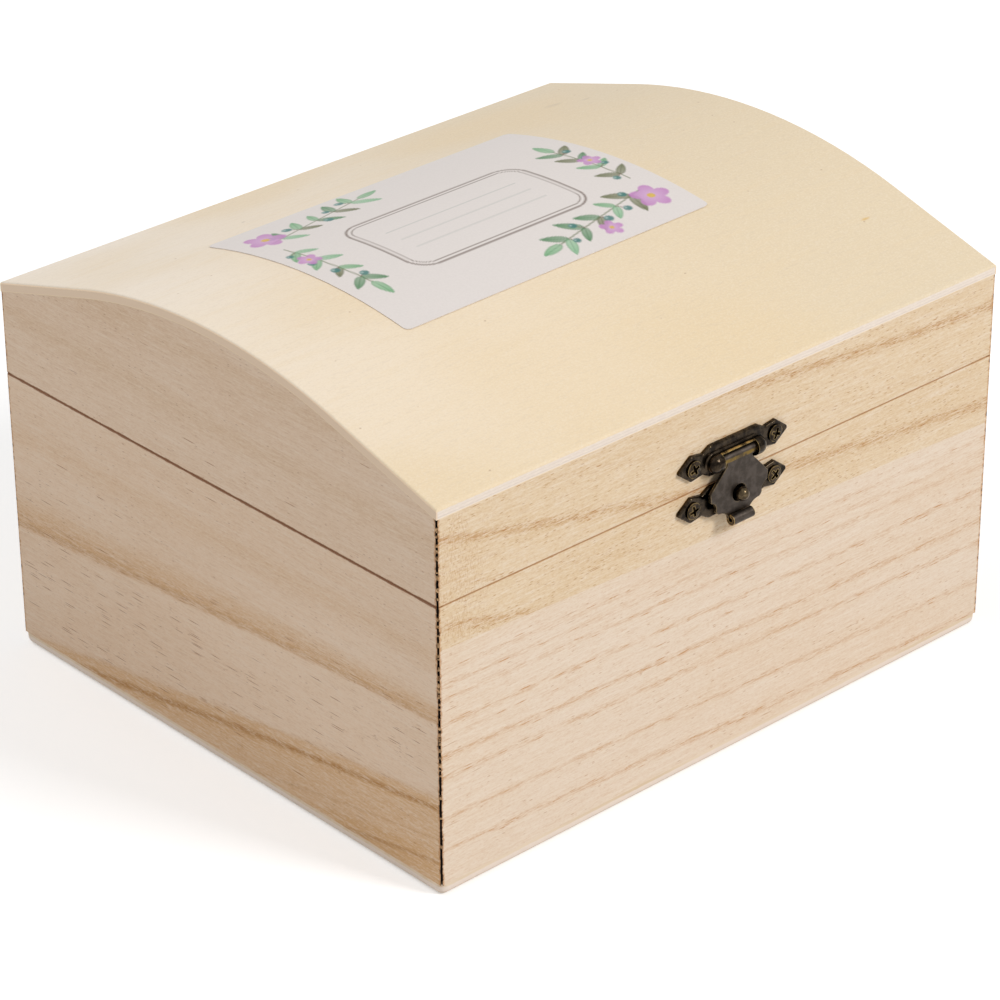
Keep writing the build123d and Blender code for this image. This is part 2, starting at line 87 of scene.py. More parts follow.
class Graph:
    """Nodes of one material or world, written from its pattern to its output."""

    def __init__(self, owner: Material | bpy.types.World) -> None:
        """Start with no nodes.

        Args:
            owner: Material or world that holds the nodes.
        """
        owner.use_nodes = True
        self.owner = owner
        self.tree = owner.node_tree
        self.tree.nodes.clear()

    @classmethod
    def of_material(cls, name: str) -> "Graph":
        """Start the nodes of a new material."""
        return cls(bpy.data.materials.new(name))

    def add(self, kind: str, feeds: dict[int | str, Feed], **settings: object) -> bpy.types.Node:
        """Add a node and feed its inputs.

        Args:
            kind: Node type without its ShaderNode prefix.
            feeds: Input socket to a number, a tuple or another node's output.
            **settings: Settings of the node itself.

        Returns:
            The new node.
        """
        node = self.tree.nodes.new("ShaderNode" + kind)
        for name, value in settings.items():
            setattr(node, name, value)
        for name, value in feeds.items():
            if isinstance(value, Socket):
                self.tree.links.new(value, node.inputs[name])
            else:
                node.inputs[name].default_value = value
        return node

    def math(self, operation: str, *values: Feed) -> Socket:
        """Do one sum on numbers, by the name that its node gives it."""
        return self.add("Math", dict(enumerate(values)), operation=operation).outputs[0]

    def times(self, first: Feed, second: Feed) -> Socket:
        """Multiply two numbers."""
        return self.math("MULTIPLY", first, second)

    def apart(self, first: Feed, second: Feed) -> Socket:
        """Give how far apart two numbers are."""
        return self.math("ABSOLUTE", self.math("SUBTRACT", first, second))

    def diagonal(self, first: Feed, second: Feed) -> Socket:
        """Give the distance that two steps at right angles make together."""
        squares = [self.math("POWER", step, 2.0) for step in (first, second)]
        return self.math("SQRT", self.math("ADD", *squares))

    def rise(self, value: Feed, low: float, high: float, start: float = 0.0, end: float = 1.0) -> Socket:
        """Turn a number into a smooth step.

        Args:
            value: The number.
            low: Where the step begins.
            high: Where it ends; below low for a step down.
            start: Result before the step.
            end: Result after it.

        Returns:
            The stepped number.
        """
        if high < low:
            low, high, start, end = high, low, end, start
        feeds = {0: value, 1: low, 2: high, 3: start, 4: end}
        return self.add("MapRange", feeds, interpolation_type="SMOOTHSTEP").outputs[0]

    def place(self) -> Socket:
        """Give the place on the object, in millimetres."""
        here = self.add("TexCoord", {}).outputs["Object"]
        return self.add("VectorMath", {0: here, "Scale": 1 / MM}, operation="SCALE").outputs[0]

    def parts(self, vector: Socket) -> tuple[Socket, Socket, Socket]:
        """Take a vector apart into its three numbers."""
        return tuple(self.add("SeparateXYZ", {0: vector}).outputs)

    def in_cells(self, vector: Socket, cell: Lengths) -> Socket:
        """Measure a place in a pattern's cells instead of millimetres."""
        scale = tuple(1 / length for length in cell)
        return self.add("VectorMath", {0: vector, 1: scale}, operation="MULTIPLY").outputs[0]

    def noise(self, vector: Socket, cell: Lengths, detail: float = 2.0, rough: float = 0.5) -> Socket:
        """Make a soft random pattern about 0.5, in patches of a cell's size with finer layers in them."""
        feeds = {"Vector": self.in_cells(vector, cell), "Scale": 1.0, "Detail": detail, "Roughness": rough}
        return self.add("TexNoise", feeds).outputs[0]

    def spots(self, vector: Socket, cell: Lengths) -> tuple[Socket, Socket, Socket]:
        """Scatter one spot in each cell of a random pattern.

        Args:
            vector: Place in millimetres.
            cell: Size of a cell along each axis, in millimetres.

        Returns:
            The distance from the nearest spot in cells, and two random numbers of that cell.
        """
        cells = self.add("TexVoronoi", {"Vector": self.in_cells(vector, cell), "Scale": 1.0})
        chances = self.add("SeparateColor", {0: cells.outputs["Color"]})
        return cells.outputs["Distance"], chances.outputs[0], chances.outputs[1]

    def ramp(self, value: Socket, stops: Stops) -> Socket:
        """Turn a number into another by straight runs between stops.

        Args:
            value: The number, 0 to 1.
            stops: Places and results, in order.

        Returns:
            The result.
        """
        node = self.add("ValToRGB", {0: value})
        elements = node.color_ramp.elements
        if len(stops) == 1:
            stops = (*stops, (1.0, stops[0][1]))
        for index, (where, result) in enumerate(stops):
            stop = elements[index] if index < 2 else elements.new(where)
            stop.position = where
            stop.color = (result, result, result, 1)
        return node.outputs[0]

    def tint(self, share: Feed, first: Colour | Socket, second: Colour | Socket) -> Socket:
        """Mix two colours, with the given share of the second."""
        pair = [colour if isinstance(colour, Socket) else (*colour, 1) for colour in (first, second)]
        return self.add("Mix", {0: share, 6: pair[0], 7: pair[1]}, data_type="RGBA").outputs[2]

    def coated(self, colour: Colour | Socket, *coats: Coat) -> Socket:
        """Lay coats of colour over each other where patterns rise.

        Args:
            colour: Colour under the coats.
            *coats: Each one's pattern, where it begins, where it is full, its full share and its colour.

        Returns:
            The colour with its coats.
        """
        for pattern, low, high, share, tone in coats:
            colour = self.tint(self.rise(pattern, low, high, 0.0, share), colour, tone)
        return colour

    def bump(self, height: Socket, depth: float, strength: float) -> Socket:
        """Bend the normal by a height, where a height of 1 stands for depth millimetres."""
        feeds = {"Strength": strength, "Distance": depth * MM, "Height": height}
        return self.add("Bump", feeds).outputs[0]

    def finish(self, **feeds: Feed) -> Material:
        """Add the shader and close the material.

        Args:
            **feeds: Shader inputs, with _ for a space.

        Returns:
            The material.
        """
        shader = self.add("BsdfPrincipled", {name.replace("_", " "): value for name, value in feeds.items()})
        self.add("OutputMaterial", {0: shader.outputs[0]})
        return self.owner


@dataclass(frozen=True)
class Board:
    """Solid paulownia board with its own growth lines, in millimetres.

    Heights are those at the start of the board, and everything fans out from there: the slope is low_slope
    at height 0, changes by fan for each millimetre higher up, and bends on the way. Growth lines are given
    by height and strength, veins by height, half width and strength, and the tan and the pores by their
    strength at chosen heights. A cell is a pattern's size along the grain, into the board and up.
    """

    name: str
    grain: Grain
    low_slope: float
    fan: float
    lines: Stops
    bend: float = 0.0
    veins: tuple[tuple[float, float, float], ...] = ()
    tan: Stops = ()
    long_pores: Stops = ((0.0, 0.01),)
    short_pores: Stops = ((0.0, 0.06),)
    face: Colour = paint(232, 212, 190)
    warm: Colour = paint(228, 203, 175)
    pale: Colour = paint(240, 225, 208)
    line: Colour = paint(198, 144, 92)
    vein: Colour = paint(182, 132, 74)
    band: Colour = paint(203, 165, 119)
    pore: Colour = paint(186, 136, 88)
    # Near-black of the burnt rims, also laid in the mitre gaps as painted shade.
    scorch_and_gap_shade: Colour = paint(34, 20, 12)
    toast: Colour = paint(190, 136, 84)
    # Colour of the split line under the lid: a burn, darkened on some boards into painted shade.
    sawn_line_and_shade: Colour = paint(170, 118, 66)
    half_length: float = 75.0
    half_width: float = 65.0
    height_span: float = 120.0
    chatter_end: float = -75.0
    chatter_fade: float = 14.0
    split_height: float = 62.5
    split_width: float = 0.1
    split_share: float = 0.75
    mouth: float = 0.1
    mouth_depth: float = 1.35
    line_reach: float = 0.85
    line_haze: float = 0.8
    vessel_length: float = 4.6
    vessel_crowd: float = 1.3
    vessel_share: float = 0.9
    pore_share: float = 0.6
    long_pore_gain: float = 1.4
    least_pore: float = 0.45
    pore_spread: float = 0.7
    tilt: float = 0.3
    swings: tuple[tuple[float, Lengths], ...] = ((1.0, (70, 40, 18)), (0.35, (8, 5, 2.2)))
    cloud_cell: Lengths = (60, 30, 14)
    streak_cell: Lengths = (24, 2.5, 0.8)
    fibre_cell: Lengths = (3.2, 0.45, 0.26)
    speckle_cell: Lengths = (0.7, 0.35, 0.25)
    tick_cell: Lengths = (0.27, 6, 0.8)
    patch_cell: Lengths = (9, 9, 4)
    gather_cell: Lengths = (24, 10, 4)
    short_pore_cell: Lengths = (1.8, 0.45, 0.36)
    long_pore_cell: Lengths = (6.0, 0.6, 0.25)
    vessel_section: Point = (0.5, 0.34)

    def profile(self, graph: Graph, height: Socket, stops: Stops) -> Socket:
        """Draw a strength that depends on height alone, from heights and strengths in order."""
        share = graph.math("DIVIDE", height, self.height_span)
        return graph.ramp(share, tuple((where / self.height_span, result) for where, result in stops))

    def fanned_height(self, graph: Graph, run: Socket) -> Socket:
        """Measure the height in the board's fan of growth lines.

        Args:
            graph: The material's nodes.
            run: Place along the grain, into the board and up.

        Returns:
            The height that the growth line here has at the start of the board.
        """
        lengthways = self.grain is Grain.ALONG_X
        end, surface = (self.half_length, self.half_width) if lengthways else (self.half_width, self.half_length)
        along, deep, up = graph.parts(run)
        reach = graph.math("SUBTRACT", along, -end)
        slope = graph.math("MULTIPLY_ADD", reach, self.bend, self.low_slope)
        level = graph.math("SUBTRACT", up, graph.times(reach, slope))
        height = graph.math("DIVIDE", level, graph.math("MULTIPLY_ADD", reach, self.fan, 1.0))
        inward = graph.math("SUBTRACT", surface, graph.math("ABSOLUTE", deep))
        height = graph.math("MULTIPLY_ADD", inward, self.tilt, height)
        for swing, cell in self.swings:
            centred = graph.math("SUBTRACT", graph.noise(run, cell, 1.5), 0.5)
            height = graph.math("MULTIPLY_ADD", centred, swing, height)
        return height

    def pores(self, graph: Graph, run: Socket, cell: Lengths, crowd: Socket) -> Socket:
        """Scatter short dashes along the grain.

        Args:
            graph: The material's nodes.
            run: Place along the grain, into the board and up.
            cell: Size of the room that each dash has.
            crowd: Share of the rooms that hold one.

        Returns:
            1 in a dash and 0 outside it.
        """
        distance, chance, size = graph.spots(run, cell)
        size = graph.math("MULTIPLY_ADD", size, self.pore_spread, self.least_pore)
        outline = graph.rise(graph.math("DIVIDE", distance, size), 0.36, 0.2)
        return graph.times(outline, graph.math("LESS_THAN", chance, crowd))

    def build(self) -> Material:
        """Write the wood's pattern and return its material."""
        graph = Graph.of_material(self.name)
        here = graph.place()
        x, y, z = graph.parts(here)
        run = here if self.grain is Grain.ALONG_X else graph.add("CombineXYZ", {0: y, 1: x, 2: z}).outputs[0]
        height = self.fanned_height(graph, run)
        fine = graph.noise(run, self.fibre_cell, 4.0, 0.65)
        speckle = graph.noise(run, self.speckle_cell, 2.0, 0.6)
        streaks = graph.noise(run, self.streak_cell, 2.0, 0.6)
        colour = graph.coated(
            self.face,
            (graph.noise(run, self.cloud_cell, 1.0), 0.35, 0.7, 0.6, self.warm),
            (streaks, 0.5, 0.72, 0.35, self.warm),
            (streaks, 0.5, 0.28, 0.35, self.pale),
        )
        if self.tan:
            spread = graph.times(self.profile(graph, height, self.tan), graph.rise(fine, 0.3, 0.7, 0.75, 1.0))
            colour = graph.tint(spread, colour, self.band)
        for middle, half_width, strength in self.veins:
            body = graph.rise(graph.apart(height, middle), half_width, 0.0, 0.0, strength)
            colour = graph.tint(graph.times(body, graph.rise(fine, 0.35, 0.6, 0.5, 1.0)), colour, self.vein)

        stops = []
        for middle, strength in self.lines:
            stops += [(middle - self.line_reach, 0.0), (middle, strength), (middle + self.line_reach, 0.0)]
        ring = self.profile(graph, height, tuple(stops))
        cell = (self.vessel_length, *self.vessel_section)
        vessels = self.pores(graph, run, cell, graph.times(ring, self.vessel_crowd))
        colour = graph.tint(graph.times(ring, self.line_haze), colour, self.warm)
        colour = graph.tint(graph.times(ring, graph.rise(fine, 0.45, 0.6, 0.1, 0.62)), colour, self.line)
        colour = graph.coated(
            graph.tint(graph.times(vessels, self.vessel_share), colour, self.line),
            (fine, 0.52, 0.7, 0.22, self.line),
            (fine, 0.5, 0.34, 0.42, self.pale),
            (speckle, 0.5, 0.34, 0.3, self.pale),
            (speckle, 0.55, 0.72, 0.2, self.line),
        )
        if self.chatter_end > -self.half_length:
            ticks = graph.rise(graph.noise(run, self.tick_cell, 1.0), 0.5, 0.62)
            patch = graph.rise(graph.noise(run, self.patch_cell, 1.0), 0.38, 0.52)
            near_end = graph.rise(x, self.chatter_end, self.chatter_end - self.chatter_fade, 0.0, 0.3)
            colour = graph.tint(graph.times(ticks, graph.times(patch, near_end)), colour, self.line)

        gathered = graph.rise(graph.noise(run, self.gather_cell, 2.0), 0.38, 0.62, 0.2, 1.6)
        for strengths, cell, share in (
            (self.short_pores, self.short_pore_cell, self.pore_share),
            (self.long_pores, self.long_pore_cell, self.pore_share * self.long_pore_gain),
        ):
            crowd = graph.times(gathered, self.profile(graph, height, strengths))
            colour = graph.tint(graph.times(self.pores(graph, run, cell, crowd), share), colour, self.pore)
        colour = self.burn_and_paint_shade(graph, here, colour)
        normal = graph.bump(fine, 0.04, 0.6)
        gloss = graph.rise(fine, 0.3, 0.7, 0.58, 0.7)
        return graph.finish(Base_Color=colour, Roughness=gloss, Normal=normal, Specular_IOR_Level=0.3)

    def burn_and_paint_shade(self, graph: Graph, here: Socket, colour: Socket) -> Socket:
        """Darken the open mitres and their rims, as a hot blade does, with painted shade in the mitre gaps, and the
        cut line under the lid, partly as a burn and partly as painted shade.

        Args:
            graph: The material's nodes.
            here: Place in millimetres.
            colour: Colour of the clean wood.

        Returns:
            The colour with its burns.
        """
        x, y, z = graph.parts(here)
        from_end = graph.math("SUBTRACT", self.half_length, graph.math("ABSOLUTE", x))
        from_face = graph.math("SUBTRACT", self.half_width, graph.math("ABSOLUTE", y))
        nearer = graph.math("MINIMUM", from_end, from_face)
        farther = graph.math("MAXIMUM", from_end, from_face)
        rim = graph.math("MULTIPLY_ADD", graph.noise(here, (0.9, 0.9, 0.8), 2.0), -1.1, farther)
        colour = graph.coated(colour, (rim, 0.3, -0.15, 0.75, self.toast), (rim, -0.16, -0.3, 0.85, self.scorch_and_gap_shade))
        # Inside the mitre gaps the wood is painted near-black: partly a burn, partly painted shade in the narrow gap.
        inside = graph.rise(nearer, 0.03, self.mouth)
        in_gap = graph.times(inside, graph.rise(farther, self.mouth_depth + 0.15, self.mouth_depth))
        colour = graph.tint(in_gap, colour, self.scorch_and_gap_shade)
        # Along the split under the lid the wood is darkened: a burnt line, widened and darkened into painted shade on
        # the left wall and the left lid end.
        slow = graph.noise(here, (5, 5, 30), 4.0, 0.8)
        reach = graph.rise(slow, 0.35, 0.65, self.split_width * 0.8, self.split_width * 1.4)
        beyond = graph.math("SUBTRACT", graph.apart(z, self.split_height), reach)
        split_burn_and_shade_share = graph.times(graph.rise(beyond, 0.16, -0.02, 0.0, self.split_share), graph.rise(nearer, 0.9, 0.1))
        return graph.tint(split_burn_and_shade_share, colour, self.sawn_line_and_shade)


@dataclass(frozen=True)
class Mark:
    """Stain on the lid, seen from above, in millimetres."""

    x: float
    y: float
    half_length: float
    half_width: float
    share: float
    tone: Colour


@dataclass(frozen=True)
class LidPlywood:
    """Three-ply sheet bent over the arch: a smooth pale face, and a whitish core at its edges."""

    crown_edge: float = 37.05
    crown_edge_height: float = 88.67
    crown_radius: float = 131.9
    crown_centre: float = -37.92
    flank: float = radians(16.3)
    thickness: float = 2.0
    veneer: float = 0.45
    half_length: float = 75.0
    tear: float = 0.24
    face: Colour = paint(243, 221, 186)
    warm: Colour = paint(240, 216, 176)
    cool: Colour = paint(250, 237, 220)
    # Duller tone, painted towards the right as shade.
    painted_right_shade: Colour = paint(233, 215, 184)
    core: Colour = paint(237, 222, 208)
    end_core: Colour = paint(234, 208, 180)
    end_face: Colour = paint(252, 225, 193)
    glue: Colour = paint(204, 186, 168)
    fleck: Colour = paint(186, 150, 112)
    seams: Stops = ((0.42, 0.35), (1.05, 0.2))
    marks: tuple[Mark, ...] = (
        Mark(61.0, -42.0, 1.6, 0.45, 0.7, paint(226, 184, 104)),
        Mark(57.0, 45.0, 2.6, 1.6, 0.2, paint(184, 164, 140)),
        Mark(62.5, 40.5, 1.8, 1.0, 0.2, paint(184, 164, 140)),
        Mark(-30.5, 42.8, 0.5, 0.4, 0.5, paint(150, 130, 108)),
    )

    def build(self) -> Material:
        """Write the sheet's pattern and return its material."""
        graph = Graph.of_material("lid_plywood")
        here = graph.place()
        x, y, z = graph.parts(here)
        radius = graph.diagonal(y, graph.math("SUBTRACT", z, self.crown_centre))
        crown_lift = graph.math("SUBTRACT", radius, self.crown_radius)
        beyond = graph.math("SUBTRACT", graph.math("ABSOLUTE", y), self.crown_edge)
        flank_lift = graph.times(graph.math("SUBTRACT", z, self.crown_edge_height), cos(self.flank))
        flank_lift = graph.math("MULTIPLY_ADD", beyond, sin(self.flank), flank_lift)
        on_flank = graph.math("GREATER_THAN", beyond, 0.0)
        lift = graph.math("MULTIPLY_ADD", on_flank, graph.math("SUBTRACT", flank_lift, crown_lift), crown_lift)

        streaks = graph.noise(here, (22, 1.8, 1.8), 2.0, 0.6)
        fibres = graph.noise(here, (2.6, 0.4, 0.4), 3.0, 0.65)
        grit = graph.noise(here, (0.5, 0.4, 0.4), 2.0, 0.6)
        colour = graph.coated(
            self.face,
            # Painted sheen: the face turns lighter and cooler towards the back left.
            (graph.math("MULTIPLY_ADD", x, -0.8, y), -70.0, 115.0, 1.0, self.cool),
            # Painted shade: the face turns duller towards the right.
            (x, -40.0, 60.0, 0.75, self.painted_right_shade),
            (graph.noise(here, (55, 40, 60), 1.0), 0.4, 0.7, 0.6, self.warm),
            (streaks, 0.48, 0.72, 0.18, self.warm),
            (fibres, 0.5, 0.68, 0.12, self.glue),
            (grit, 0.5, 0.68, 0.1, self.glue),
            (grit, 0.5, 0.34, 0.25, self.cool),
        )
        distance, chance, _ = graph.spots(here, (4.6, 3.4, 3.4))
        spot = graph.times(graph.rise(distance, 0.08, 0.03, 0.0, 0.55), graph.math("LESS_THAN", chance, 0.35))
        colour = graph.tint(spot, colour, self.fleck)
        blur = graph.noise(here, (1.2, 0.8, 0.8), 2.0)
        for mark in self.marks:
            off_x = graph.math("DIVIDE", graph.math("SUBTRACT", x, mark.x), mark.half_length)
            off_y = graph.math("DIVIDE", graph.math("SUBTRACT", y, mark.y), mark.half_width)
            off = graph.math("ADD", graph.diagonal(off_x, off_y), blur)
            colour = graph.coated(colour, (off, 1.6, 0.7, mark.share, mark.tone))

        torn = graph.noise(here, (0.9, 0.9, 0.25), 2.0)
        ragged = graph.math("MULTIPLY_ADD", torn, self.tear, lift)
        along = graph.math("ABSOLUTE", x)
        edge = self.thickness - self.veneer + self.tear / 2
        below = graph.rise(ragged, edge + 0.06, edge - 0.06)
        core = graph.coated(
            self.core,
            (torn, 0.45, 0.7, 0.5, self.cool),
            *((graph.apart(ragged, seam + self.tear / 2), 0.13, 0.03, share, self.glue) for seam, share in self.seams),
            (along, self.half_length - 0.5, self.half_length - 0.1, 1.0, self.end_core),
        )
        colour = graph.coated(colour, (along, self.half_length - 0.15, self.half_length - 0.03, 1.0, self.end_face))
        colour = graph.coated(graph.tint(below, colour, core), (lift, 0.14, 0.04, 1.0, self.face))
        normal = graph.bump(graph.math("MULTIPLY_ADD", below, torn, fibres), 0.02, 0.6)
        return graph.finish(Base_Color=colour, Roughness=0.5, Normal=normal, Specular_IOR_Level=0.4)


@dataclass(frozen=True)
class BottomPlywood:
    """Thin plywood under the walls, pale at its rounded edge."""

    thickness: float = 2.5
    veneer: float = 0.6
    tear: float = 0.3
    face: Colour = paint(233, 213, 188)
    streak: Colour = paint(220, 194, 158)
    core: Colour = paint(237, 221, 207)
    glue: Colour = paint(214, 190, 168)

    def build(self) -> Material:
        """Write the sheet's pattern and return its material."""
        graph = Graph.of_material("bottom_plywood")
        here = graph.place()
        torn = graph.noise(here, (1.4, 1.4, 0.3), 2.0)
        ragged = graph.math("MULTIPLY_ADD", torn, self.tear, graph.parts(here)[2])
        low = self.veneer + self.tear / 2
        high = self.thickness - self.veneer + self.tear / 2
        core = graph.times(graph.rise(ragged, low - 0.1, low + 0.1), graph.rise(ragged, high + 0.1, high - 0.1))
        streaks = graph.noise(here, (30, 1.5, 1.5), 3.0, 0.6)
        colour = graph.coated(self.face, (streaks, 0.4, 0.7, 0.7, self.streak))
        colour = graph.tint(core, colour, self.core)
        seam = graph.rise(graph.apart(ragged, low), 0.2, 0.05)
        colour = graph.tint(graph.times(seam, 0.7), colour, self.glue)
        normal = graph.bump(graph.math("ADD", torn, streaks), 0.04, 0.6)
        return graph.finish(Base_Color=colour, Roughness=0.62, Normal=normal, Specular_IOR_Level=0.3)


@dataclass(frozen=True)
class AntiqueBronze:
    """Lacquered plating, nearly black in its flats and rubbed to brass along its edges.

    Between the heights bare_from and bare_to, in millimetres, it is rubbed through.
    """

    name: str = "antique_bronze"
    dark: Colour = paint(66, 56, 45)
    black: Colour = paint(33, 27, 22)
    brass: Colour = paint(190, 162, 104)
    bare: Colour = paint(126, 102, 48)
    edge_reach: float = 0.2
    rubbed: float = 0.85
    roughness: float = 0.2
    roughness_swing: float = 0.07
    bare_from: float = 0.0
    bare_to: float = 0.0

    def build(self) -> Material:
        """Write the metal's pattern and return its material."""
        graph = Graph.of_material(self.name)
        here = graph.place()
        mottle = graph.noise(here, (1.6, 1.6, 1.6), 3.0, 0.6)
        speckle = graph.noise(here, (0.18, 0.18, 0.18), 2.0, 0.6)
        feeds = {"Distance": self.edge_reach * MM}
        inner = graph.add("AmbientOcclusion", feeds, samples=8, inside=True, only_local=True).outputs["AO"]
        worn = graph.times(graph.rise(inner, 0.92, 0.6), graph.rise(mottle, 0.36, 0.56, 0.1, self.rubbed))
        colour = graph.tint(graph.rise(mottle, 0.38, 0.62), self.black, self.dark)
        colour = graph.coated(colour, (speckle, 0.6, 0.78, 0.16, self.brass))
        colour = graph.tint(worn, colour, self.brass)
        if self.bare_to:
            height = graph.parts(here)[2]
            starts = graph.rise(height, self.bare_from, self.bare_from + 0.15)
            zone = graph.times(starts, graph.rise(height, self.bare_to + 0.3, self.bare_to))
            colour = graph.tint(graph.times(zone, graph.rise(mottle, 0.38, 0.58, 0.2, 0.9)), colour, self.bare)
        smooth, rough = self.roughness - self.roughness_swing, self.roughness + self.roughness_swing
        gloss = graph.rise(speckle, 0.3, 0.7, smooth, rough)
        normal = graph.bump(graph.math("ADD", mottle, speckle), 0.012, 0.6)
        return graph.finish(Base_Color=colour, Metallic=1.0, Roughness=gloss, Normal=normal)


@dataclass(frozen=True)
class PinSteel:
    """Bare drawn steel of the hinge pins."""

    light: Colour = paint(176, 172, 166)
    shade: Colour = paint(132, 126, 118)

    def build(self) -> Material:
        """Write the steel's pattern and return its material."""
        graph = Graph.of_material("pin_steel")
        drawn = graph.noise(graph.place(), (4, 0.15, 0.15), 3.0)
        colour = graph.tint(graph.rise(drawn, 0.3, 0.7), self.light, self.shade)
        return graph.finish(Base_Color=colour, Metallic=1.0, Roughness=graph.rise(drawn, 0.3, 0.7, 0.28, 0.45))


@dataclass(frozen=True)
class LabelPaper:
    """Matt grey paper that shows the print held in the sheet's own colour attribute."""

    attribute: str = "print"
    fibre: Colour = paint(150, 140, 134)

    def build(self) -> Material:
        """Write the paper's pattern and return its material."""
        graph = Graph.of_material("label_paper")
        fibre = graph.noise(graph.place(), (0.5, 0.5, 0.5), 3.0, 0.6)
        ink = graph.add("Attribute", {}, attribute_name=self.attribute).outputs["Color"]
        shade = graph.coated(ink, (fibre, 0.3, 0.7, 0.05, self.fibre))
        normal = graph.bump(fibre, 0.01, 0.5)
        return graph.finish(Base_Color=shade, Roughness=0.48, Normal=normal, Specular_IOR_Level=0.35)


def clear_selection() -> None:
    """Leave edit mode and select nothing."""
    if bpy.context.object is not None and bpy.context.object.mode != "OBJECT":
        bpy.ops.object.mode_set(mode="OBJECT")
    bpy.ops.object.select_all(action="DESELECT")


def put_on(material: Material, *pieces: Piece) -> None:
    """Give pieces one material in place of any they have.

    Args:
        material: The material.
        *pieces: Pieces or CAD nodes.
    """
    for piece in pieces:
        if piece.material_slots:
            for place in piece.material_slots:
                place.material = material
        else:
            piece.data.materials.append(material)


def soft(inside: np.ndarray, edge: float) -> np.ndarray:
    """Turn distances inside an outline into shares, with a soft edge of the given width."""
    return np.clip(inside / edge + 0.5, 0, 1)


class Watercolour:
    """Thin coats of colour laid over each other on paper, all lengths in millimetres."""

    green: Colour = paint(120, 184, 130)
    leaf_greens: tuple[Colour, ...] = (green, paint(78, 142, 90), paint(104, 112, 58), paint(140, 196, 150))
    stem: Colour = paint(120, 128, 92)
    stalk: Colour = paint(128, 96, 84)
    fruit: Colour = paint(52, 122, 116)
    shine: Colour = (0.75, 0.85, 0.82)
    petal: Colour = paint(216, 168, 214)
    petal_rim: Colour = paint(184, 96, 178)
    heart: Colour = paint(222, 186, 90)
    brown: Colour = paint(122, 104, 94)
    rule: Colour = paint(150, 160, 150)

    def __init__(self, places: np.ndarray, paper: Colour, chance: random.Random) -> None:
        """Start with bare paper.

        Args:
            places: Places to colour.
            paper: Colour of the paper.
            chance: Source of its random numbers.
        """
        self.places = places
        self.chance = chance
        self.colours = np.tile(np.array(paper, np.float32), (len(places), 1))

    def coat(self, share: np.ndarray, colour: Colour) -> None:
        """Lay one coat, of which the given share, 0 to 1, lies on each place."""
        self.colours += share[:, None] * (np.array(colour, np.float32) - self.colours)

    def local(self, spot: Point, angle: float) -> tuple[np.ndarray, np.ndarray]:
        """Measure the places from a spot, along and across a direction."""
        dx, dy = self.places[:, 0] - spot[0], self.places[:, 1] - spot[1]
        return dx * cos(angle) + dy * sin(angle), dy * cos(angle) - dx * sin(angle)

    def leaf(self, spot: Point, angle: float, length: float, colour: Colour) -> None:
        """Paint a leaf with a pointed tip, a dark rim and a vein.

        Args:
            spot: Where it joins its stem.
            angle: Its direction.
            length: Its length.
            colour: Its colour.
        """
        along, across = self.local(spot, angle)
        share = np.clip(along / length, 0, 1)
        gap = 0.46 * length * np.sqrt(share) * (1 - share) ** 0.8 - np.abs(across)
        body = soft(gap, 0.3) * (along > 0) * (along < length)
        rim = np.exp(-((gap / 0.35) ** 2))
        vein = np.exp(-((across / 0.16) ** 2)) * (share < 0.85)
        deep = tuple(part * 0.5 for part in colour)
        self.coat(body * (0.62 + 0.3 * share), colour)
        self.coat(body * rim * 0.45, deep)
        self.coat(body * vein * 0.5, deep)

    def berry(self, spot: Point, radius: float) -> None:
        """Paint a round berry with a light on it."""
        along, across = self.local(spot, 0.0)
        self.coat(soft(radius - np.hypot(along, across), 0.3) * 0.92, self.fruit)
        shine = np.exp(-(((along + radius * 0.3) ** 2 + (across - radius * 0.35) ** 2) / (radius * 0.3) ** 2))
        self.coat(shine * 0.6, self.shine)

    def stroke(self, start: Point, end: Point, width: float, colour: Colour) -> None:
        """Draw a straight stroke of a pen."""
        dx, dy = end[0] - start[0], end[1] - start[1]
        along, across = self.local(start, np.arctan2(dy, dx))
        inside = (along > -width / 2) & (along < np.hypot(dx, dy) + width / 2)
        self.coat(soft(width / 2 - np.abs(across), 0.2) * inside * 0.85, colour)

    def blossom(self, spot: Point, size: float) -> None:
        """Paint a flower with five round petals and a yellow heart."""
        along, across = self.local(spot, 0.0)
        away, turn = np.hypot(along, across), np.arctan2(across, along) + self.chance.uniform(0, 1)
        inside = soft(size * (0.62 + 0.38 * np.abs(np.cos(2.5 * turn))) - away, 0.35)
        self.coat(inside * 0.8, self.petal)
        self.coat(inside * np.clip(away / size, 0, 1) * 0.55, self.petal_rim)
        self.coat(soft(size * 0.2 - away, 0.3), self.heart)

    def garland(self, start: Point, end: Point, pairs: int) -> None:
        """Paint a stem with pairs of leaves and a berry between them.

        Args:
            start: One end of the stem.
            end: Its other end.
            pairs: How many pairs of leaves it has.
        """
        self.stroke(start, end, 0.35, self.stem)
        heading = np.arctan2(end[1] - start[1], end[0] - start[0])
        for index in range(pairs):
            share = (index + 0.5) / pairs
            spot = (start[0] + share * (end[0] - start[0]), start[1] + share * (end[1] - start[1]))
            for side in (-1, 1):
                lean = side * self.chance.uniform(0.7, 1.1)
                green = self.chance.choice(self.leaf_greens)
                self.leaf(spot, heading + lean, self.chance.uniform(4.6, 6.6), green)
            offset = self.chance.choice((-1, 1)) * self.chance.uniform(1.6, 2.6)
            fruit = (spot[0] - offset * sin(heading + 0.4), spot[1] + offset * cos(heading + 0.4))
            self.stroke(spot, fruit, 0.25, self.stalk)
            self.berry(fruit, self.chance.uniform(0.8, 1.2))
        self.leaf(end, heading, 6.0, self.green)

